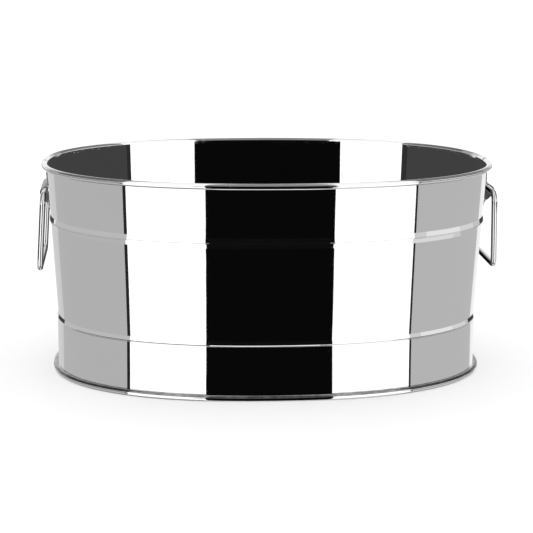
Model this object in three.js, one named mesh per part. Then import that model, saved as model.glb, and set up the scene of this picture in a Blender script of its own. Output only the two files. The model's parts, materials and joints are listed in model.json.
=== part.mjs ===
// Oval stainless steel beverage tub: two half walls rolled over a rim wire, a floor pan, a foot band
// rolled over a foot wire, and at each end a pressed bracket that holds a swinging wire handle.
// Millimetres, +Z up. The origin is on the table under the middle of the tub; X is the long axis.

import * as THREE from 'three';

// ---- driving dimensions ----------------------------------------------------------------------

const LENGTH = 500;             // over the rolled rim, along X
const WIDTH = 355;              // over the rolled rim, along Y
const HEIGHT = 233;             // table to the top of the rim
const OVAL_POWER = 2.28;        // 2 is an ellipse, more is squarer
const SHEET = 0.8;              // sheet thickness
const GAP = 0.3;                // air between pieces that touch on the real tub
const ROLL_RADIUS = 3.1;        // outside of the rolled rim and foot edges
const TAPER = 3.45;             // degrees that the wall leans out
const BEAD_HEIGHT = 169.5;      // middle of the pressed bead
const BEAD_HALF = 5.5;
const BEAD_RISE = 1.4;
const BAND_TOP = 58.5;          // upper edge of the foot band
const LEDGE_FOOT = 58.8;        // a pressed ledge in the wall covers that edge: where it starts,
const LEDGE_NOSE = 60;          // where it stands out most,
const LEDGE_TOP = 64.2;         // and where it has run out into the wall
const LEDGE_RISE = 1.3;
const WALL_BOTTOM = 11;
const PAN_FLOOR = 12.5;         // middle of the floor sheet
const PAN_LIP = 20;             // upper edge of the pan's upturned flange
const PAN_BEND = 4;
const HANDLE_RADIUS = 3.2;      // of the handle's wire
const HANDLE_WIDTH = 115;       // between the middles of the two legs
const HANDLE_DROP = 80;         // from the hinge line to the middle of the grip
const HANDLE_TOP_BEND = 11;
const HANDLE_GRIP_BEND = 8;
const HINGE_HEIGHT = 202;
const HINGE_PLAY = 0.4;         // between the handle's top bar and the wall
const LEFT_LEAN = 3.5;            // degrees that each handle stands off the vertical
const RIGHT_LEAN = 1;
const BRACKET_SHEET = 1;
const BRACKET_TOP = 224;
const BRACKET_BOTTOM = 180;
const BRACKET_CORNER = 5;
const TOP_TAB_HALF = 24;        // half widths of the bracket: its upper edge,
const BOTTOM_TAB_HALF = 20;     // its lower edge,
const HOOD_HALF = 34;           // and the hood over the handle's top bar
const HOOD_REACH = 6;           // how far above and below the hinge the hood keeps its full width
const HOOD_PLAY = 0.35;         // between the hood and the handle's top bar
const HOOD_TOP_SLOPE = 54;      // degrees from level at which the hood leaves the bar, above
const HOOD_FOOT_SLOPE = 27;     // and below
const TAB_BEND = 1.5;           // where the hood's flanks turn into the tabs
const FLOOR_EDGE = 35;          // width of the strip of floor that is offset from the rim's oval

const AROUND = 72;              // steps round the oval
const ROLL_STEP = 30;           // degrees between the flats of a rolled edge
const ROLL_FLATS = 9;           // flats in a rolled edge, past the one in line with the sheet
const BEND_STEPS = 3;           // in each bend of the handle and the pan
const BRACKET_STEPS = 8;        // across the bracket's width
const CURVE_STEPS = 4;          // in each curve of the bracket's section
const WIRE_SIDES = 8;
const HANDLE_SIDES = 12;

// ---- derived dimensions ----------------------------------------------------------------------

const rollMiddle = ROLL_RADIUS - SHEET / 2;
const rollWireRadius = ROLL_RADIUS - SHEET - GAP;
const rimX = LENGTH / 2 - ROLL_RADIUS;          // the rim wire's oval, from which all others are offset
const rimY = WIDTH / 2 - ROLL_RADIUS;
const rimZ = HEIGHT - ROLL_RADIUS;
const lean = THREE.MathUtils.degToRad(TAPER);
const wallMiddle = (z) => rimX - rollMiddle - (rimZ - z) * Math.tan(lean);
const bandMiddle = wallMiddle(BAND_TOP) + SHEET + GAP;
const footX = bandMiddle + rollMiddle;          // the foot wire's oval
const hingeX = wallMiddle(HINGE_HEIGHT) + SHEET / 2 + HINGE_PLAY + HANDLE_RADIUS;
const scaleInside = rimX - FLOOR_EDGE;          // inside this the floor is scaled, not offset

// ---- materials -------------------------------------------------------------------------------

const mirror = (color) => new THREE.MeshStandardMaterial({ color, roughness: 0.05, metalness: 1 });
const wallSteel = mirror(0xc9cacc);
const bandSteel = mirror(0xc4c5c8);
const panSteel = new THREE.MeshStandardMaterial({ color: 0xb9babc, roughness: 0.25, metalness: 1 });
const rollWire = new THREE.MeshStandardMaterial({ color: 0x8f9194, roughness: 0.4, metalness: 1 });
const bracketSteel = mirror(0xbfc0c3);
const handleSteel = mirror(0xcfd0d2);

// ---- the oval --------------------------------------------------------------------------------

// A point of the rim's oval at an angle round Z, moved out along its normal to a given half length.
function onOval(halfLength, angle, z) {
  const offset = Math.max(halfLength, scaleInside) - rimX;
  const cos = Math.cos(angle);
  const sin = Math.sin(angle);
  const sum = Math.abs(cos / rimX) ** OVAL_POWER + Math.abs(sin / rimY) ** OVAL_POWER;
  const reach = sum ** (-1 / OVAL_POWER);
  const normal = new THREE.Vector3(
    Math.sign(cos) * Math.abs(cos * reach / rimX) ** (OVAL_POWER - 1) / rimX,
    Math.sign(sin) * Math.abs(sin * reach / rimY) ** (OVAL_POWER - 1) / rimY,
    0,
  ).normalize();
  const point = new THREE.Vector3(reach * cos, reach * sin, 0).addScaledVector(normal, offset);
  point.multiplyScalar(Math.min(1, halfLength / scaleInside));
  return point.setZ(z);
}

// How far the end of the oval has curved back at a distance y from the long axis.
function endDrop(y) {
  return rimX * (1 - (1 - Math.abs(y / rimY) ** OVAL_POWER) ** (1 / OVAL_POWER));
}

// Moves every vertex of a geometry with place(x, y, z, u, v), and turns its faces outwards.
function remap(geometry, place) {
  const position = geometry.attributes.position;
  const uv = geometry.attributes.uv;
  for (let i = 0; i < position.count; i += 1) {
    const p = place(position.getX(i), position.getY(i), position.getZ(i), uv.getX(i), uv.getY(i));
    position.setXYZ(i, p.x, p.y, p.z);
  }
  const a = new THREE.Vector3();
  const b = new THREE.Vector3();
  const c = new THREE.Vector3();
  const index = geometry.index ?? { count: position.count, getX: (i) => i };
  let volume = 0;
  for (let i = 0; i < index.count; i += 3) {
    a.fromBufferAttribute(position, index.getX(i));
    b.fromBufferAttribute(position, index.getX(i + 1));
    c.fromBufferAttribute(position, index.getX(i + 2));
    volume += a.dot(b.cross(c));
  }
  if (volume < 0) flip(geometry);
  geometry.computeVertexNormals();
  return geometry;
}

// Reverses the winding of every triangle.
function flip(geometry) {
  if (!geometry.index) {
    geometry.setIndex([...Array(geometry.attributes.position.count).keys()]);
  }
  const index = geometry.index;
  for (let i = 0; i < index.count; i += 3) {
    const first = index.getX(i);
    index.setX(i, index.getX(i + 2));
    index.setX(i + 2, first);
  }
}

// A closed profile of half lengths and heights, carried all the way round the oval.
function ring(profile) {
  const closed = [...profile, profile[0]];
  return remap(new THREE.LatheGeometry(closed, AROUND), (x, y, z, u) => (
    onOval(Math.hypot(x, z), u * 2 * Math.PI, y)
  ));
}

// The same profile carried round from one angle to another, with flat ends.
function arc(profile, from, to) {
  const steps = Math.round(AROUND * (to - from) / (2 * Math.PI));
  const solid = new THREE.ExtrudeGeometry(new THREE.Shape(profile), {
    depth: 1,
    steps,
    bevelEnabled: false,
  });
  return remap(solid, (x, y, z) => onOval(x, from + (to - from) * z, y));
}

// ---- profiles --------------------------------------------------------------------------------

// The way from one face of a sheet to the other, one millimetre thick, at a point of its line. At a
// corner it is longer, so that the sheet keeps its thickness on both sides of the corner.
function across(points, i) {
  const last = points.length - 1;
  const [first, second] = [Math.max(i - 1, 0), Math.min(i, last - 1)];
  const square = (k) => new THREE.Vector2(points[k].y - points[k + 1].y, points[k + 1].x - points[k].x);
  const before = square(first).normalize();
  const after = square(second).normalize();
  const middle = before.clone().add(after).normalize();
  return middle.divideScalar(middle.dot(after));
}

// The outline of a sheet of a given thickness that follows a line of points.
function sheetProfile(line, thickness) {
  const side = (sign) => line.map((point, i) => (
    point.clone().addScaledVector(across(line, i), sign * thickness / 2)
  ));
  return [...side(1), ...side(-1).reverse()];
}

// Points round part of a circle; angles in degrees from the outward direction.
function arcPoints(x, z, radius, from, to, count) {
  return Array.from({ length: count + 1 }, (_, i) => {
    const angle = THREE.MathUtils.degToRad(from + (to - from) * i / count);
    return new THREE.Vector2(x + radius * Math.cos(angle), z + radius * Math.sin(angle));
  });
}

// How far the bead stands out of the wall at a height.
function beadRise(z) {
  return BEAD_RISE * Math.max(0, 1 - Math.abs(z - BEAD_HEIGHT) / BEAD_HALF);
}

// How far the ledge stands out of the wall at a height.
function ledgeRise(z) {
  const { clamp, inverseLerp } = THREE.MathUtils;
  const above = 1 - clamp(inverseLerp(LEDGE_NOSE, LEDGE_TOP, z), 0, 1);
  const below = clamp(inverseLerp(LEDGE_FOOT, LEDGE_NOSE, z), 0, 1);
  return LEDGE_RISE * above * below;
}

// A sheet's edge rolled into a tube: flats round a circle, from the angle where the sheet meets it.
function roll(x, z, start, way) {
  const corner = rollMiddle / Math.cos(THREE.MathUtils.degToRad(ROLL_STEP / 2));
  const first = start + way * ROLL_STEP / 2;
  const last = start + way * ROLL_STEP * (ROLL_FLATS + 0.5);
  const end = start + way * ROLL_STEP * (ROLL_FLATS + 1);
  const [edge] = arcPoints(x, z, rollMiddle, end, end, 1);
  return [...arcPoints(x, z, corner, first, last, ROLL_FLATS), edge];
}

function wallProfile() {
  const bead = [BEAD_HEIGHT - BEAD_HALF, BEAD_HEIGHT, BEAD_HEIGHT + BEAD_HALF];
  const heights = [WALL_BOTTOM, LEDGE_FOOT, LEDGE_NOSE, LEDGE_TOP, ...bead];
  const line = heights.map((z) => new THREE.Vector2(wallMiddle(z) + beadRise(z) + ledgeRise(z), z));
  line.push(...roll(rimX, rimZ, 180 - TAPER, -1));
  return sheetProfile(line, SHEET);
}

function bandProfile() {
  const line = [new THREE.Vector2(bandMiddle, BAND_TOP), ...roll(footX, ROLL_RADIUS, -180, 1)];
  return sheetProfile(line, SHEET);
}

// The floor pan, from its middle out to the upturned flange that lies inside the wall.
function panProfile() {
  const flange = (z) => wallMiddle(z) - SHEET - GAP;
  const bendX = flange(PAN_FLOOR + PAN_BEND) - PAN_BEND;
  const line = [
    new THREE.Vector2(scaleInside, PAN_FLOOR),
    ...arcPoints(bendX, PAN_FLOOR + PAN_BEND, PAN_BEND, -90, -TAPER, BEND_STEPS),
    new THREE.Vector2(flange(PAN_LIP), PAN_LIP),
  ];
  const outline = sheetProfile(line, SHEET);
  const under = new THREE.Vector2(0, PAN_FLOOR - SHEET / 2);
  const top = new THREE.Vector2(0, PAN_FLOOR + SHEET / 2);
  return [top, ...outline, under];
}

const wireProfile = (x, z) => arcPoints(x, z, rollWireRadius, 0, 360, WIRE_SIDES).slice(0, -1);

// ---- handles and brackets --------------------------------------------------------------------

// A wire bent to a rounded rectangle in the YZ plane, hanging from a top bar at the origin.
function handleGeometry() {
  const quarter = Math.PI / 2;
  const topY = HANDLE_WIDTH / 2 - HANDLE_TOP_BEND;
  const gripY = HANDLE_WIDTH / 2 - HANDLE_GRIP_BEND;
  const gripZ = HANDLE_GRIP_BEND - HANDLE_DROP;
  const path = new THREE.Path();
  path.absarc(topY, -HANDLE_TOP_BEND, HANDLE_TOP_BEND, quarter, 0, true);
  path.absarc(gripY, gripZ, HANDLE_GRIP_BEND, 0, -quarter, true);
  path.absarc(-gripY, gripZ, HANDLE_GRIP_BEND, -quarter, -2 * quarter, true);
  path.absarc(-topY, -HANDLE_TOP_BEND, HANDLE_TOP_BEND, 2 * quarter, quarter, true);
  const middle = path.getPoints(BEND_STEPS);
  const count = middle.length;
  const sideways = middle.map((_, i) => {
    const before = middle[(i + count - 1) % count];
    const after = middle[(i + 1) % count];
    const into = new THREE.Vector2().subVectors(middle[i], before).normalize();
    const out = new THREE.Vector2().subVectors(after, middle[i]).normalize();
    const along = into.add(out).normalize();
    return new THREE.Vector2(-along.y, along.x);
  });
  return remap(new THREE.TorusGeometry(2, 1, HANDLE_SIDES, count), (x, y, z, u, v) => {
    const i = Math.round(u * count) % count;
    const angle = v * 2 * Math.PI;
    const inPlane = HANDLE_RADIUS * Math.cos(angle);
    return new THREE.Vector3(
      HANDLE_RADIUS * Math.sin(angle),
      middle[i].x + sideways[i].x * inPlane,
      middle[i].y + sideways[i].y * inPlane,
    );
  });
}

// The bracket's section: distance out from the wall's face against height.
function bracketLine() {
  const flat = GAP + BRACKET_SHEET / 2;
  const barX = HINGE_PLAY + HANDLE_RADIUS;
  const hood = HANDLE_RADIUS + HOOD_PLAY + BRACKET_SHEET / 2;
  const steep = THREE.MathUtils.degToRad(HOOD_TOP_SLOPE);
  const shallow = THREE.MathUtils.degToRad(HOOD_FOOT_SLOPE);
  const topX = barX + hood * Math.cos(steep);
  const topZ = HINGE_HEIGHT + hood * Math.sin(steep);
  const footZ = HINGE_HEIGHT - hood * Math.sin(shallow)
    - (barX + hood * Math.cos(shallow) - flat) / Math.tan(shallow);
  const shoulderZ = topZ + (topX - flat) / Math.tan(steep);
  const path = new THREE.Path();
  path.moveTo(flat, BRACKET_TOP);
  path.lineTo(flat, BRACKET_TOP - BRACKET_CORNER);
  path.lineTo(flat, shoulderZ + TAB_BEND);
  path.quadraticCurveTo(
    flat, shoulderZ,
    flat + TAB_BEND * Math.sin(steep), shoulderZ - TAB_BEND * Math.cos(steep),
  );
  path.absarc(barX, HINGE_HEIGHT, hood, steep, -shallow, true);
  path.lineTo(flat + TAB_BEND * Math.sin(shallow), footZ + TAB_BEND * Math.cos(shallow));
  path.quadraticCurveTo(flat, footZ, flat, footZ - TAB_BEND);
  path.lineTo(flat, BRACKET_BOTTOM + BRACKET_CORNER / 2);
  path.lineTo(flat, BRACKET_BOTTOM);
  return path.getPoints(CURVE_STEPS);
}

// Half the bracket's width at a height: waisted tabs above and below a wider hood.
function bracketHalfWidth(z) {
  const { mapLinear } = THREE.MathUtils;
  const top = mapLinear(z, BRACKET_TOP, HINGE_HEIGHT + HOOD_REACH, TOP_TAB_HALF, HOOD_HALF);
  const bottom = mapLinear(z, BRACKET_BOTTOM, HINGE_HEIGHT - HOOD_REACH, BOTTOM_TAB_HALF, HOOD_HALF);
  const half = Math.min(top, bottom, HOOD_HALF);
  const inFromEnd = Math.min(z - BRACKET_BOTTOM, BRACKET_TOP - z, BRACKET_CORNER);
  const missing = BRACKET_CORNER - inFromEnd;
  return half - BRACKET_CORNER + Math.sqrt(BRACKET_CORNER ** 2 - missing ** 2);
}

// The bracket on the +X end. Its tabs follow the wall; its hood stays straight for the bar.
function bracketGeometry() {
  const line = bracketLine();
  const steps = line.length - 1;
  return remap(new THREE.BoxGeometry(1, 1, 1, BRACKET_STEPS, steps, 1), (x, y, z) => {
    const i = Math.round((0.5 - y) * steps);
    const middle = line[i];
    const face = middle.clone().addScaledVector(across(line, i), z * BRACKET_SHEET);
    const sideways = 2 * x * bracketHalfWidth(middle.y);
    const straight = THREE.MathUtils.smoothstep(middle.x, BRACKET_SHEET, HANDLE_RADIUS + HINGE_PLAY);
    const wallFace = wallMiddle(face.y) + SHEET / 2 - (1 - straight) * endDrop(sideways);
    return new THREE.Vector3(wallFace + face.x, sideways, face.y);
  });
}

// ---- assembly --------------------------------------------------------------------------------

const tub = new THREE.Group();

function add(parent, name, geometry, material) {
  const mesh = new THREE.Mesh(geometry, material);
  mesh.name = name;
  parent.add(mesh);
  return mesh;
}

const seam = GAP / 2 / rimX;    // half the butt seam, as an angle
add(tub, 'wall_front', arc(wallProfile(), -Math.PI + seam, -seam), wallSteel);
add(tub, 'wall_rear', arc(wallProfile(), seam, Math.PI - seam), wallSteel);
add(tub, 'rim_wire', ring(wireProfile(rimX, rimZ)), rollWire);
add(tub, 'floor_pan', ring(panProfile()), panSteel);
add(tub, 'foot_band', ring(bandProfile()), bandSteel);
add(tub, 'foot_wire', ring(wireProfile(footX, ROLL_RADIUS)), rollWire);

for (const [side, turn, lift] of [['left', Math.PI, LEFT_LEAN], ['right', 0, RIGHT_LEAN]]) {
  const end = new THREE.Group();
  end.rotation.z = turn;
  tub.add(end);
  add(end, `${side}_bracket`, bracketGeometry(), bracketSteel);
  const hinge = new THREE.Group();
  hinge.position.set(hingeX, 0, HINGE_HEIGHT);
  hinge.rotation.y = -THREE.MathUtils.degToRad(lift);
  end.add(hinge);
  add(hinge, `${side}_handle`, handleGeometry(), handleSteel);
}

export default tub;
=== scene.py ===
import json
import math

import bmesh
import bpy
import numpy as np
from mathutils import Matrix, Vector


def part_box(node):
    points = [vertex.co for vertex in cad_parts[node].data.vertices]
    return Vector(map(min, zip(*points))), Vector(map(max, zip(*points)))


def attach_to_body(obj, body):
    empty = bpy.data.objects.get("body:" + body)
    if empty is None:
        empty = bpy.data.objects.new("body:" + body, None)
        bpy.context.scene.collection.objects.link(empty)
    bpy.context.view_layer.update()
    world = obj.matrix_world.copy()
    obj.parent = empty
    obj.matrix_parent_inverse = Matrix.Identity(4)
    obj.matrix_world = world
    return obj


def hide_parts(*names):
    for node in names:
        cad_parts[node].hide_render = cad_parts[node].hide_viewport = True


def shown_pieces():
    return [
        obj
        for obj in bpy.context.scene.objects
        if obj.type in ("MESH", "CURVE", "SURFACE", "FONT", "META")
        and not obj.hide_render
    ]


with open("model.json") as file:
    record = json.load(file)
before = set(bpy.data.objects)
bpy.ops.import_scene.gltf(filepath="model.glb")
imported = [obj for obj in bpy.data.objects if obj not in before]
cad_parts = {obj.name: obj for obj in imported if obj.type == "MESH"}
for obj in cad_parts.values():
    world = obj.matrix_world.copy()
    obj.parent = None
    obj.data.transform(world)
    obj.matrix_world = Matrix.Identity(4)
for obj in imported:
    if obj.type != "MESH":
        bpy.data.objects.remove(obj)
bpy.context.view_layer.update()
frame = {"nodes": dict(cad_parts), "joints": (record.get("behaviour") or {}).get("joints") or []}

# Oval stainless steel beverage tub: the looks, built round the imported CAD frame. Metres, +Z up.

# ---- sizes that the frame gives ------------------------------------------------------------


def wire_ring(node):
    """A wire ring's half length, half width and height at the wire's middle, and its radius."""
    low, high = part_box(node)
    radius = (high.z - low.z) / 2
    return high.x - radius, high.y - radius, (high.z + low.z) / 2, radius


RIM_X, RIM_Y, RIM_Z, _ = wire_ring("rim_wire")
FOOT_X, _, FOOT_Z, _ = wire_ring("foot_wire")
HINGES = {joint["child"]: Vector(joint["pos_m"]) for joint in frame["joints"]}
HINGE_Z = HINGES["right_ring"].z

# ---- sizes of the sheet work, as in the CAD source -----------------------------------------

OVAL_POWER = 2.28
SHEET = 0.0008
GAP = 0.0003
ROLL_RADIUS = FOOT_Z
ROLL_MIDDLE = ROLL_RADIUS - SHEET / 2
ROLL_TURN = math.radians(292)
TAPER = math.radians(3.45)
BEAD_Z = 0.1695
BEAD_HALF = 0.0055
BEAD_RISE = 0.0014
BAND_TOP = 0.0585
LEDGE_FOOT = 0.0588
LEDGE_NOSE = 0.060
LEDGE_TOP = 0.0642
LEDGE_RISE = 0.0013
WALL_BOTTOM = 0.011
PAN_Z = 0.0125
PAN_LIP = 0.020
PAN_BEND = 0.004
FLOOR_EDGE = 0.035

# ---- sizes of the sheet work that only the looks have --------------------------------------

CREASE_DEPTH = 0.0004
CREASE_LOW = 0.0008
CREASE_HIGH = 0.00045
KINK = 0.00004     # the spacing of the points round a kink
PAN_HUB = 0.001    # inside this the pan's outline is left out and its skin closes

# ---- sizes of the handles and brackets, as in the CAD source -------------------------------

WIRE = 0.0032
HANDLE_WIDTH = 0.115
HANDLE_DROP = 0.080
TOP_BEND = 0.011
GRIP_BEND = 0.008
HINGE_PLAY = 0.0004
LEANS = {"left": math.radians(3.5), "right": math.radians(1)}
STRAP = 0.001
STRAP_TOP = 0.224
STRAP_BOTTOM = 0.180
STRAP_CORNER = 0.005
TOP_TAB_HALF = 0.024
BOTTOM_TAB_HALF = 0.020
HOOD_HALF = 0.034
HOOD_REACH = 0.006
HOOD_PLAY = 0.00035
HOOD_TOP_SLOPE = math.radians(54)
HOOD_FOOT_SLOPE = math.radians(27)
TAB_BEND = 0.0015

# ---- how finely the shapes are divided, and how their meshes are cleaned -------------------

RING_STEPS = 480
ROLL_STEPS = 48
SPAN_STEPS = 4
TOP_SPAN_STEPS = 7
EDGE_STEPS = 3
WIRE_SIDES = 32
BEND_STEPS = 16
STRAP_COLUMNS = 40
SAME_POINT = 2e-6
SAME_EDGE = 1e-7
SHARP_ANGLE = math.radians(35)
ALONG_BAR = 0.7    # how squarely a face of the hood has to look along the bar to be in the hollow


def wall_middle(z):
    """Half length of the wall's oval, at the middle of the sheet."""
    return RIM_X - ROLL_MIDDLE - (RIM_Z - z) * math.tan(TAPER)


BAND_MIDDLE = wall_middle(BAND_TOP) + SHEET + GAP
SCALE_INSIDE = RIM_X - FLOOR_EDGE

# ---- mesh tools ----------------------------------------------------------------------------


def on_oval(half, angle, z):
    """Points of the rim's oval at angles round Z, moved along its normal to given half lengths.

    Within SCALE_INSIDE, where moving would fold the oval, it is scaled down instead.
    """
    half, angle, z = np.broadcast_arrays(*(np.asarray(v, float) for v in (half, angle, z)))
    cos, sin = np.cos(angle), np.sin(angle)
    total = np.abs(cos / RIM_X) ** OVAL_POWER + np.abs(sin / RIM_Y) ** OVAL_POWER
    reach = total ** (-1 / OVAL_POWER)
    normal = np.stack([
        np.sign(cos) * np.abs(cos * reach / RIM_X) ** (OVAL_POWER - 1) / RIM_X,
        np.sign(sin) * np.abs(sin * reach / RIM_Y) ** (OVAL_POWER - 1) / RIM_Y,
    ], -1)
    normal /= np.linalg.norm(normal, axis=-1, keepdims=True)
    point = np.stack([reach * cos, reach * sin], -1)
    point = point + normal * (np.maximum(half, SCALE_INSIDE) - RIM_X)[..., None]
    point = point * np.minimum(1, half / SCALE_INSIDE)[..., None]
    return np.concatenate([point, z[..., None]], -1)


def end_drop(y):
    """How far the end of the oval has curved back at a distance y from the long axis."""
    return RIM_X * (1 - (1 - abs(y / RIM_Y) ** OVAL_POWER) ** (1 / OVAL_POWER))


def finish_mesh(name, vertices, faces, material):
    """A new object from vertices and faces. Doubled points merge, and faces turn outwards."""
    mesh = bpy.data.meshes.new(name)
    mesh.from_pydata([tuple(v) for v in vertices], [], faces)
    bm = bmesh.new()
    bm.from_mesh(mesh)
    bmesh.ops.remove_doubles(bm, verts=bm.verts, dist=SAME_POINT)
    bmesh.ops.dissolve_degenerate(bm, edges=bm.edges, dist=SAME_EDGE)
    bmesh.ops.recalc_face_normals(bm, faces=bm.faces)
    if bm.calc_volume(signed=True) < 0:
        bmesh.ops.reverse_faces(bm, faces=bm.faces)
    bm.to_mesh(mesh)
    bm.free()
    mesh.polygons.foreach_set("use_smooth", [True] * len(mesh.polygons))
    mesh.set_sharp_from_angle(angle=SHARP_ANGLE)
    mesh.materials.append(material)
    piece = bpy.data.objects.new(name, mesh)
    bpy.context.scene.collection.objects.link(piece)
    return piece


def loft(name, rows, material, closed=False, capped=()):
    """A skin over rows of points, each row a closed outline.

    closed joins the last row to the first. capped lists rows to fill in, where a row's first half
    runs along one side of the sheet and its second half runs back along the other.
    """
    rows = np.asarray(rows)
    m, n = rows.shape[:2]
    faces = []
    for i in range(m if closed else m - 1):
        a, b = i * n, (i + 1) % m * n
        for j in range(n):
            k = (j + 1) % n
            faces.append((a + j, a + k, b + k, b + j))
    for row in capped:
        a = row * n
        faces += [(a + j, a + j + 1, a + n - 2 - j, a + n - 1 - j) for j in range(n // 2 - 1)]
    return finish_mesh(name, rows.reshape(-1, 3), faces, material)


def arc_points(x, z, radius, start, stop, count):
    """Points round part of a circle; angles from the outward direction."""
    angles = np.linspace(start, stop, count + 1)
    return [(x + radius * math.cos(a), z + radius * math.sin(a)) for a in angles]


def straight(start, stop, count):
    """Points along a straight line, without its last one."""
    start, stop = np.array(start), np.array(stop)
    return [tuple(start + (stop - start) * i / count) for i in range(count)]


def bend(a, b, c, count):
    """Points along a soft corner at b, from a to just before c."""
    a, b, c = np.array(a), np.array(b), np.array(c)
    t = np.linspace(0, 1, count + 1)[:-1, None]
    return [tuple(p) for p in (1 - t) ** 2 * a + 2 * t * (1 - t) * b + t ** 2 * c]


def squares(line):
    """The unit vector square to a line, at each of its points."""
    along = np.gradient(line, axis=0)
    along /= np.linalg.norm(along, axis=1, keepdims=True)
    return np.stack([-along[:, 1], along[:, 0]], 1)


def sheet_outline(line, thickness):
    """Both faces of a sheet that follows a line, with rounded edges at the line's two ends."""
    line = np.asarray(line, float)
    radius = thickness / 2
    start = (line[0] - line[1]) / np.linalg.norm(line[0] - line[1])
    stop = (line[-1] - line[-2]) / np.linalg.norm(line[-1] - line[-2])
    turn = np.linspace(0, math.pi / 2, EDGE_STEPS + 1)[1:]
    middle = [line[0] + start * radius * (math.sin(t) - 1) for t in turn[::-1]]
    middle += [line[0] - start * radius, *line[1:-1], line[-1] - stop * radius]
    middle += [line[-1] + stop * radius * (math.sin(t) - 1) for t in turn]
    edge = [radius * math.cos(t) for t in turn]
    width = np.array([*edge[::-1], *[radius] * len(line), *edge])
    middle = np.array(middle)
    square = squares(middle) * width[:, None]
    return np.concatenate([middle + square, (middle - square)[::-1]])


# ---- the tub's profiles --------------------------------------------------------------------


def bead_rise(z):
    """How far the pressed bead stands out from the wall."""
    return BEAD_RISE * max(0, 1 - abs(z - BEAD_Z) / BEAD_HALF)


def outer_rise(z):
    """What only the wall's outer face shows: the ledge over the foot band, the bead's crease."""
    above = 1 - np.clip((z - LEDGE_NOSE) / (LEDGE_TOP - LEDGE_NOSE), 0, 1)
    below = np.clip((z - LEDGE_FOOT) / (LEDGE_NOSE - LEDGE_FOOT), 0, 1)
    crease = np.interp(z - BEAD_Z, [-CREASE_LOW, 0, CREASE_HIGH], [0, CREASE_DEPTH, 0])
    return LEDGE_RISE * above * below - crease


def wall_line():
    """The wall from its lower edge to the end of the rim's roll.

    Points close round each kink keep its smooth shading from spreading over the flats.
    """
    kinks = [
        LEDGE_FOOT, LEDGE_NOSE, LEDGE_TOP, BEAD_Z - BEAD_HALF, BEAD_Z - CREASE_LOW, BEAD_Z,
        BEAD_Z + CREASE_HIGH, BEAD_Z + BEAD_HALF,
    ]
    heights = [WALL_BOTTOM]
    for kink in kinks:
        heights += [*np.linspace(heights[-1], kink - 2 * KINK, SPAN_STEPS + 1)[1:]]
        heights += [kink - KINK, kink, kink + KINK, kink + 2 * KINK]
    heights += [*np.linspace(heights[-1], RIM_Z, TOP_SPAN_STEPS + 1)[1:-1]]
    line = [(wall_middle(z) + bead_rise(z), z) for z in heights]
    start = math.pi - TAPER
    return line + arc_points(RIM_X, RIM_Z, ROLL_MIDDLE, start, start - ROLL_TURN, ROLL_STEPS)


def band_line():
    """The foot band from its upper edge to the end of its roll."""
    below_edge = (BAND_MIDDLE, BAND_TOP - SHEET / 2 - 2 * KINK)
    line = [(BAND_MIDDLE, BAND_TOP)] + straight(below_edge, (BAND_MIDDLE, FOOT_Z), count=14)
    stop = -math.pi + ROLL_TURN
    return line + arc_points(FOOT_X, FOOT_Z, ROLL_MIDDLE, -math.pi, stop, ROLL_STEPS)


def pan_line():
    """The pan from its middle to the top of its flange."""
    def flange(z):
        return wall_middle(z) - SHEET - GAP

    bend_x = flange(PAN_Z + PAN_BEND) - PAN_BEND
    line = straight((0.0, PAN_Z), (SCALE_INSIDE, PAN_Z), count=20)
    line += straight((SCALE_INSIDE, PAN_Z), (bend_x, PAN_Z), count=4)
    line += arc_points(bend_x, PAN_Z + PAN_BEND, PAN_BEND, -math.pi / 2, -TAPER, count=10)
    return line + [(flange(PAN_LIP), PAN_LIP)]


def half_wall(name, start, stop, material):
    """Half of the wall, from one bearing round the oval to another, with both its ends capped."""
    outline = sheet_outline(wall_line(), SHEET)
    outside = outline[:, 0] > wall_middle(outline[:, 1])
    clear_of_roll = outline[:, 1] < BEAD_Z + BEAD_HALF
    outline[:, 0] += (outside & clear_of_roll) * outer_rise(outline[:, 1])
    steps = RING_STEPS // 2
    angles = np.linspace(start, stop, steps + 1)
    rows = on_oval(outline[None, :, 0], angles[:, None], outline[None, :, 1])
    return loft(name, rows, material, capped=(0, steps))


def ring(name, outline, material):
    """A skin with the same outline all the way round the oval."""
    angles = np.linspace(0, 2 * math.pi, RING_STEPS, endpoint=False)
    rows = on_oval(outline[None, :, 0], angles[:, None], outline[None, :, 1])
    return loft(name, rows, material, closed=True)


def floor_pan(name, material):
    """The pan's skin closes at the middle, where the outline's rounded edge is left out."""
    outline = sheet_outline(pan_line(), SHEET)
    top, under = np.split(outline, 2)
    top, under = top[top[:, 0] > PAN_HUB], under[under[:, 0] > PAN_HUB]
    middles = (0.0, PAN_Z + SHEET / 2), (0.0, PAN_Z - SHEET / 2)
    return ring(name, np.array([middles[0], *top, *under, middles[1]]), material)


# ---- handles and brackets ------------------------------------------------------------------


def tube(name, path, radius, material):
    """A closed loop of round wire through the points of a path in the YZ plane."""
    path = np.asarray(path)
    along = np.roll(path, -1, 0) - np.roll(path, 1, 0)
    along /= np.linalg.norm(along, axis=1, keepdims=True)
    across = np.tile(np.array([1.0, 0, 0]), (len(path), 1))
    inward = np.cross(along, across)
    angles = np.linspace(0, 2 * math.pi, WIRE_SIDES, endpoint=False)[None, :, None]
    rows = path[:, None] + radius * (
        np.cos(angles) * across[:, None] + np.sin(angles) * inward[:, None]
    )
    return loft(name, rows, material, closed=True)


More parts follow.
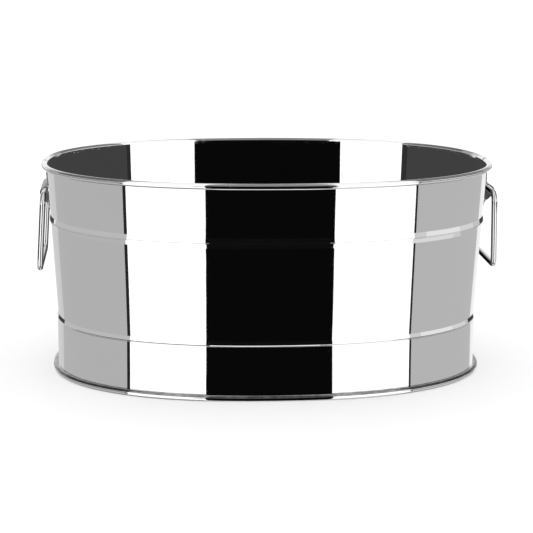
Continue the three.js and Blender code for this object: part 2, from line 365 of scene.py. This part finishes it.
def handle(side, material):
    """The wire loop, in the YZ plane under its hinge, then leaned out and moved to its end."""
    top_y, grip_y = HANDLE_WIDTH / 2 - TOP_BEND, HANDLE_WIDTH / 2 - GRIP_BEND
    grip_z = GRIP_BEND - HANDLE_DROP
    quarter = math.pi / 2
    corners = [
        arc_points(top_y, -TOP_BEND, TOP_BEND, quarter, 0, BEND_STEPS),
        arc_points(grip_y, grip_z, GRIP_BEND, 0, -quarter, BEND_STEPS),
        arc_points(-grip_y, grip_z, GRIP_BEND, -quarter, -2 * quarter, BEND_STEPS),
        arc_points(-top_y, -TOP_BEND, TOP_BEND, 2 * quarter, quarter, BEND_STEPS),
    ]
    path = []
    for corner, following in zip(corners, corners[1:] + corners[:1]):
        path += corner[:-1] + straight(corner[-1], following[0], BEND_STEPS)
    piece = tube(f"{side}_wire_handle", [(0, y, z) for y, z in path], WIRE, material)
    hinge = HINGES[f"{side}_ring"]
    turn = Matrix.Rotation(math.pi if side == "left" else 0, 4, "Z")
    lean = Matrix.Rotation(-LEANS[side], 4, "Y")
    piece.data.transform(Matrix.Translation(hinge) @ turn @ lean)
    return piece


def strap_line():
    """The bracket's section: distance out from the wall's face against height."""
    flat = GAP + STRAP / 2
    bar_x = HINGE_PLAY + WIRE
    hood = WIRE + HOOD_PLAY + STRAP / 2
    steep, shallow = HOOD_TOP_SLOPE, HOOD_FOOT_SLOPE
    top_x, top_z = bar_x + hood * math.cos(steep), HINGE_Z + hood * math.sin(steep)
    low_x, low_z = bar_x + hood * math.cos(shallow), HINGE_Z - hood * math.sin(shallow)
    shoulder_z = top_z + (top_x - flat) / math.tan(steep)
    foot_z = low_z - (low_x - flat) / math.tan(shallow)
    shoulder_top, shoulder = (flat, shoulder_z + TAB_BEND), (flat, shoulder_z)
    shoulder_end = (flat + TAB_BEND * math.sin(steep), shoulder_z - TAB_BEND * math.cos(steep))
    foot_start = (flat + TAB_BEND * math.sin(shallow), foot_z + TAB_BEND * math.cos(shallow))
    foot, foot_end = (flat, foot_z), (flat, foot_z - TAB_BEND)
    line = straight((flat, STRAP_TOP), shoulder_top, count=12)
    line += bend(shoulder_top, shoulder, shoulder_end, count=8)
    line += straight(shoulder_end, (top_x, top_z), count=4)
    line += arc_points(bar_x, HINGE_Z, hood, steep, -shallow, BEND_STEPS)
    line += straight((low_x, low_z), foot_start, count=8)[1:]
    line += bend(foot_start, foot, foot_end, count=8)
    line += straight(foot_end, (flat, STRAP_BOTTOM), count=8)
    return line + [(flat, STRAP_BOTTOM)]


def strap_half_width(z):
    """Half of the bracket's width: full round the hood, less on its tabs, with rounded corners."""
    top = np.interp(z, [HINGE_Z + HOOD_REACH, STRAP_TOP], [HOOD_HALF, TOP_TAB_HALF])
    bottom = np.interp(z, [STRAP_BOTTOM, HINGE_Z - HOOD_REACH], [BOTTOM_TAB_HALF, HOOD_HALF])
    in_from_end = min(z - STRAP_BOTTOM, STRAP_TOP - z, STRAP_CORNER)
    missing = STRAP_CORNER - max(in_from_end, 0)
    corner = math.sqrt(max(STRAP_CORNER ** 2 - missing ** 2, 0))
    return min(top, bottom) - STRAP_CORNER + corner


def bracket(side, material, inside):
    """The pressed strap. Its tabs follow the wall, its hood stays straight for the handle's bar.

    The faces in the hood's hollow, which look at the wall or along the bar, have a second material,
    inside, a near-black sheet: painted shade.
    """
    line = np.array(strap_line())
    square = squares(line)
    rows = []
    for u in np.linspace(-1, 1, STRAP_COLUMNS + 1):
        outer, inner = [], []
        for middle, out in zip(line, square):
            y = u * strap_half_width(middle[1])
            flat = 1 - np.clip((middle[0] - STRAP) / (WIRE + HINGE_PLAY - STRAP), 0, 1)
            follow = flat * flat * (3 - 2 * flat)
            for store, sign in ((outer, 1), (inner, -1)):
                face = middle + sign * out * STRAP / 2
                x = wall_middle(face[1]) + SHEET / 2 + face[0] - follow * end_drop(y)
                store.append((x, y, face[1]))
        rows.append(outer + inner[::-1])
    piece = loft(f"{side}_strap", rows, material, capped=(0, STRAP_COLUMNS))
    piece.data.materials.append(inside)
    for face in piece.data.polygons:
        x, _, z = face.center
        off_wall = wall_middle(z) + SHEET / 2 + STRAP < x < RIM_X + ROLL_RADIUS + HOOD_REACH
        if off_wall and (face.normal.x < 0 or abs(face.normal.y) > ALONG_BAR):
            face.material_index = 1
    if side == "left":
        piece.data.transform(Matrix.Rotation(math.pi, 4, "Z"))
    return piece


# ---- material tools ------------------------------------------------------------------------


def add_node(tree, kind, *inputs, **settings):
    """A new node. Its inputs, in order, are sockets to link, values to set, or None to leave."""
    made = tree.nodes.new(kind)
    for key, value in settings.items():
        setattr(made, key, value)
    for index, value in enumerate(inputs):
        if isinstance(value, bpy.types.NodeSocket):
            tree.links.new(value, made.inputs[index])
        elif value is not None:
            made.inputs[index].default_value = value
    return made


def maths(tree, operation, *inputs):
    return add_node(tree, "ShaderNodeMath", *inputs, operation=operation).outputs[0]


def times(tree, *values):
    """The product of two or more values."""
    product = values[0]
    for value in values[1:]:
        product = maths(tree, "MULTIPLY", product, value)
    return product


def more(tree, value, mask, amount):
    """A value with an amount added where a mask is 1. A negative amount takes away."""
    return maths(tree, "ADD", value, times(tree, mask, amount))


def parts(tree, vector):
    """The X, Y and Z of a vector."""
    return add_node(tree, "ShaderNodeSeparateXYZ", vector).outputs


def length(tree, a, b):
    """The long side of a right-angled triangle whose short sides are a and b."""
    return maths(tree, "SQRT", maths(tree, "ADD", times(tree, a, a), times(tree, b, b)))


def spread(tree, value, low, high, start=0.0, stop=1.0):
    """Carries a value from one range smoothly over to another."""
    made = add_node(tree, "ShaderNodeMapRange", value, low, high, start, stop,
                    interpolation_type="SMOOTHSTEP")
    return made.outputs[0]


def noise(tree, place, scale=1.0, stretch=(1, 1, 1), detail=3.0):
    """Noise in the piece's own metres, with its features squeezed along each axis by stretch."""
    squeezed = add_node(tree, "ShaderNodeVectorMath", place, stretch, operation="MULTIPLY")
    return add_node(tree, "ShaderNodeTexNoise", squeezed.outputs[0], None, scale, detail).outputs[0]


def blotches(tree, place, low, high, faintest=0.0, **pattern):
    """Noise turned into separate blotches: faintest under its low level, 1 over its high one."""
    return spread(tree, noise(tree, place, **pattern), low, high, faintest)


def scratches(tree, place, stretch, share):
    """Thin separate lines, which cover a small share of the surface."""
    lines = blotches(tree, place, 1 - share, 1 - share + 0.05, stretch=stretch, detail=2.0)
    return times(tree, lines, blotches(tree, place, 0.45, 0.62, scale=30.0))


# ---- materials -----------------------------------------------------------------------------

POLISHED = (0.80, 0.80, 0.802)
LEVEL_GRAIN = (14, 14, 1500)
SHADE_CHANGE = 0.03
SMEARS_SHARE = 0.5             # shares of a steel's extra roughness
GRAIN_SHARE = 0.3
SCRATCH_SQUEEZE = 2.3          # how much finer the scratches are than the grain
SEAM_CLEAR = 0.0032            # how far from the seam the rim is clean, and how near it is dull
SEAM_DULL = 0.0018
SEAM_DARK = 0.85
NICK_DEPTH = 0.00002
CORNER_FOOT = 0.0008           # the painted shade in the corner over the foot's roll: its start above the wire's middle, how softly it starts, and its end above the roll
CORNER_SOFT = 0.0007           # middle, how softly it starts, and its end above the roll
CORNER_TOP = 0.0012
CORNER_PAINTED_SHADE = 0.8
STANDING_CLEAR = 0.0016        # heights between which the foot's scuffs begin and are full
STANDING_FULL = 0.0003
SCUFF_TURNS = (0.3, 1.4, 2.5)  # directions of the scuffs in the pan, in radians
SCUFF_DEPTH = 0.000008
MARKS_SCALE = 26.0
WELDS = ((0.012, 0.2175), (0.010, 0.1835))  # distance to each side, and height
WELD_RADIUS = 0.0025
WELD_DIMPLE = 0.4              # radius of a weld's deepest part, as a share of the weld's
WELD_HALO = 1.7                # the same for the dull ring round it
WELD_DEPTH = 0.00015
SIDE_UNSHADED = -0.1              # how far a face of the handle turns to the tub: where its painted shade starts, and where it is full
SIDE_FULLY_SHADED = -0.85              # and dull
SIDE_PAINTED_SHADE = 0.8


def steel(name, color, roughness, rougher, wave, grain, grain_depth, extras=None, metallic=1.0,
          bright_edges=True):
    """Polished steel: soft waves in the sheet, a grain, scratches, smears and small shade changes.

    rougher is how much rougher the scratches are, wave and grain_depth are heights in metres.
    extras adds a piece's own marks, and painted shade on the foot and the handles. bright_edges
    leaves grazing reflections white; without it the colour, painted shade included, tints them and
    the edges come out darker: painted shade.
    """
    material = bpy.data.materials.new(name)
    material.use_nodes = True
    tree = material.node_tree
    shader = tree.nodes["Principled BSDF"]
    shader.inputs["Metallic"].default_value = metallic
    shader.inputs["Specular IOR Level"].default_value = metallic / 2
    place = add_node(tree, "ShaderNodeTexCoord").outputs["Object"]
    smears = blotches(tree, place, 0.4, 0.75, scale=22.0)
    fine = noise(tree, place, stretch=grain, detail=2.0)
    squeeze = tuple(value * SCRATCH_SQUEEZE for value in grain)
    lines = scratches(tree, place, squeeze, share=0.3)
    rough = times(tree, smears, rougher * SMEARS_SHARE)
    rough = more(tree, rough, fine, rougher * GRAIN_SHARE)
    rough = more(tree, rough, lines, rougher)
    rough = maths(tree, "ADD", rough, roughness)
    shade = times(tree, noise(tree, place, scale=9.0), SHADE_CHANGE)
    shade = maths(tree, "ADD", shade, 1 - SHADE_CHANGE / 2)
    shade = more(tree, shade, lines, -SHADE_CHANGE)
    height = times(tree, noise(tree, place, scale=16.0, detail=1.0), wave)
    height = more(tree, height, fine, grain_depth)
    if extras:
        rough, shade, height = extras(tree, place, rough, shade, height)
    tint = add_node(tree, "ShaderNodeVectorMath", color, operation="SCALE")
    tree.links.new(shade, tint.inputs["Scale"])
    bump = add_node(tree, "ShaderNodeBump")
    bump.inputs["Strength"].default_value = 1
    bump.inputs["Distance"].default_value = 1
    tree.links.new(height, bump.inputs["Height"])
    tree.links.new(tint.outputs[0], shader.inputs["Base Color"])
    if not bright_edges:
        tree.links.new(tint.outputs[0], shader.inputs["Specular Tint"])
    tree.links.new(rough, shader.inputs["Roughness"])
    tree.links.new(bump.outputs[0], shader.inputs["Normal"])
    return material


def rubbed_rim(tree, place, rough, shade, height):
    """The rim's roll is rubbed by hands, has small nicks, and is dull where its halves meet."""
    _, y, z = parts(tree, place)
    roll = spread(tree, z, RIM_Z - ROLL_RADIUS, RIM_Z - ROLL_RADIUS / 2)
    rubs = times(tree, roll, blotches(tree, place, 0.35, 0.7, scale=60.0))
    nicks = times(tree, roll, blotches(tree, place, 0.66, 0.74, scale=420.0, detail=1.0))
    seam = spread(tree, maths(tree, "ABSOLUTE", y), SEAM_CLEAR, SEAM_DULL)
    seam = times(tree, seam, roll, SEAM_DARK)
    rough = more(tree, rough, rubs, 0.06)
    rough = more(tree, rough, nicks, 0.12)
    rough = more(tree, rough, seam, 0.2)
    shade = more(tree, shade, seam, -1)
    height = more(tree, height, nicks, -NICK_DEPTH)
    return rough, shade, height


def worn_foot_and_painted_shade(tree, place, rough, shade, height):
    """The foot's roll is scuffed where it stands. The corner above it is darkened in the colour, in
    blotches: painted shade.
    """
    _, _, z = parts(tree, place)
    foot = FOOT_Z + CORNER_FOOT
    above = spread(tree, z, foot, foot + CORNER_SOFT)
    below = spread(tree, z, 2 * ROLL_RADIUS + CORNER_TOP, 2 * ROLL_RADIUS)
    uneven = blotches(tree, place, 0.3, 0.7, faintest=0.75, scale=130.0)
    # Painted shade: the colour is darkened in the corner over the foot's roll, where the roll
    # mirrors the dim wall.
    corner = times(tree, above, below, uneven, CORNER_PAINTED_SHADE)
    shade = times(tree, shade, maths(tree, "SUBTRACT", 1.0, corner))
    standing = spread(tree, z, STANDING_CLEAR, STANDING_FULL)
    scuffs = times(tree, standing, blotches(tree, place, 0.35, 0.65, faintest=0.3, scale=180.0))
    rough = more(tree, rough, scuffs, 0.35)
    shade = more(tree, shade, scuffs, -0.2)
    return rough, shade, height


def scuffed_pan(tree, place, rough, shade, height):
    """Bottles and ice have scuffed the pan in all directions, and water has left marks."""
    for turn in SCUFF_TURNS:
        turned = add_node(tree, "ShaderNodeVectorRotate", place, None, (0, 0, 1), turn).outputs[0]
        lines = scratches(tree, turned, (18, 1900, 1), share=0.34)
        rough = more(tree, rough, lines, 0.16)
        height = more(tree, height, lines, -SCUFF_DEPTH)
    cells = add_node(tree, "ShaderNodeTexVoronoi", place, None, MARKS_SCALE, feature="SMOOTH_F1")
    far = cells.outputs[0]
    rings = times(tree, spread(tree, far, 0.25, 0.4), spread(tree, far, 0.5, 0.42))
    rough = more(tree, rough, rings, 0.05)
    shade = more(tree, shade, rings, -0.03)
    return rough, shade, height


def pressed_strap(tree, place, rough, shade, height):
    """Marks of the press along the hood, and a dimple with a dull ring at each spot weld."""
    _, y, z = parts(tree, place)
    aside = maths(tree, "ABSOLUTE", y)
    for weld_y, weld_z in WELDS:
        off_y = maths(tree, "SUBTRACT", aside, weld_y)
        off_z = maths(tree, "SUBTRACT", z, weld_z)
        far = length(tree, off_y, off_z)
        dimple = spread(tree, far, WELD_RADIUS, WELD_RADIUS * WELD_DIMPLE)
        halo = spread(tree, far, WELD_RADIUS * WELD_HALO, WELD_RADIUS)
        halo = maths(tree, "SUBTRACT", halo, dimple)
        height = more(tree, height, dimple, -WELD_DEPTH)
        rough = more(tree, rough, halo, 0.18)
        shade = more(tree, shade, halo, -0.2)
    marks = blotches(tree, place, 0.52, 0.7, stretch=(150, 25, 900), detail=2.0)
    rough = more(tree, rough, marks, 0.06)
    return rough, shade, height


def rubbed_grip_and_painted_shade(tree, place, rough, shade, height):
    """Hands cover the grip with fine rubs. The side that faces the tub is darkened in the colour:
    painted shade.
    """
    outward = parts(tree, add_node(tree, "ShaderNodeTexCoord").outputs["Normal"])[0]
    end = maths(tree, "SIGN", parts(tree, place)[0])
    painted_side_shade = spread(tree, times(tree, outward, end), SIDE_UNSHADED, SIDE_FULLY_SHADED)
    rubs = blotches(tree, place, 0.48, 0.68, stretch=(700, 90, 700), detail=2.0)
    # Painted shade on the side of the wire that faces the tub.
    shade = more(tree, shade, painted_side_shade, -SIDE_PAINTED_SHADE)
    shade = more(tree, shade, rubs, -0.03)
    rough = more(tree, rough, rubs, 0.05)
    return rough, shade, height


sheet_look = {"color": POLISHED, "roughness": 0.012, "rougher": 0.02, "wave": 0.00006,
              "grain": LEVEL_GRAIN, "grain_depth": 2e-8}
wall_steel = steel("wall_steel", **sheet_look, extras=rubbed_rim)
band_steel = steel("band_steel", **sheet_look, extras=worn_foot_and_painted_shade)
pan_steel = steel(
    "pan_steel", (0.74, 0.74, 0.745), roughness=0.07, rougher=0.10, wave=0.00003,
    grain=(500, 500, 500), grain_depth=1e-7, extras=scuffed_pan,
)
roll_steel = steel(
    "roll_steel", (0.46, 0.465, 0.47), roughness=0.30, rougher=0.25, wave=0.0,
    grain=(60, 60, 2500), grain_depth=2e-6,
)
# bright_edges=False: the strap's colour darkens its edges, a painted shade.
strap_steel = steel(
    "strap_steel", (0.42, 0.42, 0.425), roughness=0.03, rougher=0.06, wave=0.00003,
    grain=(900, 30, 900), grain_depth=2e-7, extras=pressed_strap, bright_edges=False,
)
# Painted shade: a near-black, barely metallic sheet for the faces in the hood's hollow.
hood_painted_shade = steel(
    "hood_painted_shade", (0.03, 0.03, 0.031), roughness=0.45, rougher=0.2, wave=0.00003,
    grain=(900, 30, 900), grain_depth=2e-6, metallic=0.15,
)
# bright_edges=False: the handle's colour, with its painted side shade, darkens its edges too, a
# painted shade.
handle_steel = steel(
    "handle_steel", POLISHED, roughness=0.02, rougher=0.05, wave=0.00002,
    grain=(900, 60, 60), grain_depth=2e-7, extras=rubbed_grip_and_painted_shade, bright_edges=False,
)

# ---- assembly ------------------------------------------------------------------------------


def attach(piece, body, slot, *nodes):
    """Puts a piece on its body, in place of CAD nodes. slot, a material slot's name, is not used.
    """
    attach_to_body(piece, body)
    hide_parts(*nodes)


half_seam = GAP / 2 / RIM_X
front_wall = half_wall("front_wall", -math.pi + half_seam, -half_seam, wall_steel)
rear_wall = half_wall("rear_wall", half_seam, math.pi - half_seam, wall_steel)
attach(front_wall, "tub", "wall_steel", "wall_front")
attach(rear_wall, "tub", "wall_steel", "wall_rear")
attach(floor_pan("pan", pan_steel), "tub", "pan_steel", "floor_pan")
foot = ring("foot", sheet_outline(band_line(), SHEET), band_steel)
attach(foot, "tub", "band_steel", "foot_band")
for side in ("left", "right"):
    strap = bracket(side, strap_steel, hood_painted_shade)
    attach(strap, "tub", "bracket_steel", f"{side}_bracket")
    attach(handle(side, handle_steel), f"{side}_ring", "handle_steel", f"{side}_handle")
for node in ("rim_wire", "foot_wire"):
    materials = frame["nodes"][node].data.materials
    materials.clear()
    materials.append(roll_steel)
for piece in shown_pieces():
    piece.visible_glossy = False

# ---- where the camera stands, round the middle of the foot; angles in radians --------------

CAMERA_FAR = 1.98
CAMERA_UP = 0.2634
CAMERA_ROUND = -0.0765
CAMERA_TILT = 0.209
CAMERA_ROLL = 0.0067
LENS = 116.6
SENSOR = 36

# ---- what polished steel sees --------------------------------------------------------------

# Plain cards in columns and rows. A card's place is the direction that a mirror has to face to
# show that card to the camera, so its edges stay straight down a wall and over a bead. Columns
# are pairs: the bearing in degrees where a card starts, and its brightness. A bearing of 0 is
# straight ahead of the tub, and it grows towards the right.
BLACK, STRIP, WHITE = 0.003, 0.022, 1.5
GROUND_CARDS = [(-180, 0.3), (-31, 0.72), (-10.4, 0.17), (7.8, 0.72), (26.7, 0.45)]
LIP_CARDS = [(-180, 0.15), (-31, 0.1), (-11.9, 1.3), (7.8, 0.7), (26.7, 0.2)]
CREASE_CARDS = [(-180, 0.45), (-31, 0.45), (-10.4, 0.01), (7.8, 0.6), (26.7, 0.45)]
TABLE_CARDS = [
    (-180, 0.55), (-31, 1.3), (-10.4, 0.005), (7.8, 1.3), (26.7, 0.85), (45, 0.72), (58, 0.62),
]
LOW_CARDS = [
    (-180, 0.69), (-74, 0.535), (-31.1, STRIP), (-30, WHITE), (-10.4, BLACK),
    (7.8, WHITE), (26.7, STRIP), (27.4, 0.56), (69, 0.98),
]
LEVEL_CARDS = [
    (-180, 0.062), (-32.5, 0.035), (-30.4, WHITE), (-12.8, BLACK),
    (8.25, WHITE), (24.2, 0.03), (25.5, 0.062),
]
HIGH_CARDS = [
    (-180, 1.0), (-76, 0.6), (-30, WHITE), (-10.4, 0.005), (7.8, WHITE), (26.7, 0.75), (31, 0.95),
    (48, 0.8), (60, 0.65), (78, 1.0),
]
CEILING_CARDS = [
    (-180, 1.0), (-82, 0.7), (-74, 0.4), (-64, 0.16), (-30, 1.2), (-10.4, 0.3), (7.8, 1.2),
    (26.7, 0.22), (64, 0.4), (74, 0.7), (82, 1.0),
]
BEHIND_CARDS = [
    (-180, 0.6), (-82, 0.4), (-74, 0.2), (-64, 0.05), (-31, 0.02), (-10.4, 0.35), (7.8, 0.02),
    (27, 0.05), (64, 0.2), (74, 0.4), (82, 0.6),
]

# Rows are pairs too: the slope in degrees that a mirror has to face where a row starts, and the
# row's cards. 0 is level and 90 is straight up. UNDER_ROWS are seen by the lower faces of the
# rolls, the ledge, the crease and the bead, and OVER_ROWS by upper faces. From WALL_SLOPE up to
# OVER_ROWS come the walls, split by where the mirrored ray goes: from the outside of the wall it
# goes down more steeply than from the inside.
UNDER_ROWS = [(-90, GROUND_CARDS), (-60, LIP_CARDS), (-40, CREASE_CARDS), (-26, TABLE_CARDS)]
WALL_ROWS = [(-90, LOW_CARDS), (-9.2, LEVEL_CARDS)]
OVER_ROWS = [(7, HIGH_CARDS), (18, CEILING_CARDS), (60, BEHIND_CARDS)]
WALL_SLOPE = -14

# How steeply the camera looks down, as set for the lower faces and for the upper ones. Near the
# tub's outline the level part of the direction that a mirror faces comes out too short to give
# a slope, so for the upper faces it counts as GRAZING at least.
UNDER_VIEW = math.radians(13)
OVER_VIEW = math.radians(9.3)
GRAZING = 0.65
SOFT_LIGHT = 1.2
FLOOR_HALF = 40.0
FLOOR_GREY = 0.93


def stepped(tree, along, pairs):
    """A value that changes from one level to the next where along passes each start."""
    value = pairs[0][1]
    for start, level in pairs[1:]:
        past = maths(tree, "GREATER_THAN", along, math.radians(start))
        chosen = add_node(tree, "ShaderNodeMix", past, None, value, level, data_type="FLOAT")
        value = chosen.outputs[0]
    return value


def studio():
    """Soft white light all round. Polished steel sees the cards."""
    world = bpy.data.worlds.new("studio")
    bpy.context.scene.world = world
    world.use_nodes = True
    tree = world.node_tree
    tree.nodes.clear()
    x, y, z = parts(tree, add_node(tree, "ShaderNodeTexCoord").outputs["Generated"])
    aside = maths(tree, "ADD", x, math.sin(CAMERA_ROUND) * math.cos(CAMERA_UP))
    ahead = maths(tree, "SUBTRACT", math.cos(CAMERA_ROUND) * math.cos(CAMERA_UP), y)
    bearing = maths(tree, "ARCTAN2", aside, ahead)
    level = length(tree, aside, ahead)
    mirrored_slope = maths(tree, "ARCSINE", z)
    under = maths(tree, "ARCTAN2", maths(tree, "ADD", z, math.sin(UNDER_VIEW)), level)
    over = maths(tree, "ARCTAN2", maths(tree, "ADD", z, math.sin(OVER_VIEW)),
                 maths(tree, "MAXIMUM", level, GRAZING))

    def columns(rows):
        return [(start, stepped(tree, bearing, cards)) for start, cards in rows]

    walls = stepped(tree, mirrored_slope, columns(WALL_ROWS))
    cards = stepped(tree, under, [*columns(UNDER_ROWS), (WALL_SLOPE, walls)])
    cards = stepped(tree, over, [(-90, cards), *columns(OVER_ROWS)])
    room = add_node(tree, "ShaderNodeBackground", (1, 1, 1, 1), cards)
    soft = add_node(tree, "ShaderNodeBackground", (1, 1, 1, 1), SOFT_LIGHT)
    path = add_node(tree, "ShaderNodeLightPath").outputs
    from_floor = maths(tree, "GREATER_THAN", path["Diffuse Depth"], 0.5)
    mirrored = maths(tree, "SUBTRACT", path["Is Glossy Ray"], from_floor)
    seen = add_node(tree, "ShaderNodeMixShader", mirrored, soft.outputs[0], room.outputs[0])
    add_node(tree, "ShaderNodeOutputWorld", seen.outputs[0])


def floor():
    """A plain pale floor, which polished steel doesn't mirror."""
    mesh = bpy.data.meshes.new("floor")
    signs = ((-1, -1), (1, -1), (1, 1), (-1, 1))
    mesh.from_pydata([(x * FLOOR_HALF, y * FLOOR_HALF, 0) for x, y in signs], [], [range(4)])
    paint = bpy.data.materials.new("floor_paint")
    paint.use_nodes = True
    shader = paint.node_tree.nodes["Principled BSDF"]
    shader.inputs["Base Color"].default_value = (FLOOR_GREY, FLOOR_GREY, FLOOR_GREY, 1)
    shader.inputs["Roughness"].default_value = 1
    shader.inputs["Specular IOR Level"].default_value = 0
    mesh.materials.append(paint)
    made = bpy.data.objects.new("floor", mesh)
    bpy.context.scene.collection.objects.link(made)
    made.visible_glossy = False


studio()
floor()

# ---- camera --------------------------------------------------------------------------------

flat_far = CAMERA_FAR * math.cos(CAMERA_UP)
eye = Vector((
    flat_far * math.sin(CAMERA_ROUND),
    -flat_far * math.cos(CAMERA_ROUND),
    CAMERA_FAR * math.sin(CAMERA_UP),
))
yaw = -CAMERA_ROUND
forward = Vector((
    math.sin(yaw) * math.cos(CAMERA_TILT),
    math.cos(yaw) * math.cos(CAMERA_TILT),
    -math.sin(CAMERA_TILT),
))
level = Vector((math.cos(yaw), -math.sin(yaw), 0))
upright = level.cross(forward)
right = math.cos(CAMERA_ROLL) * level + math.sin(CAMERA_ROLL) * upright
up = -math.sin(CAMERA_ROLL) * level + math.cos(CAMERA_ROLL) * upright

camera = bpy.data.objects.new("camera", bpy.data.cameras.new("camera"))
bpy.context.scene.collection.objects.link(camera)
camera.data.lens = LENS
camera.data.sensor_width = SENSOR
camera.matrix_world = Matrix((
    (right.x, up.x, -forward.x, eye.x),
    (right.y, up.y, -forward.y, eye.y),
    (right.z, up.z, -forward.z, eye.z),
    (0, 0, 0, 1),
))
bpy.context.scene.camera = camera
bpy.context.scene.view_settings.view_transform = "Standard"
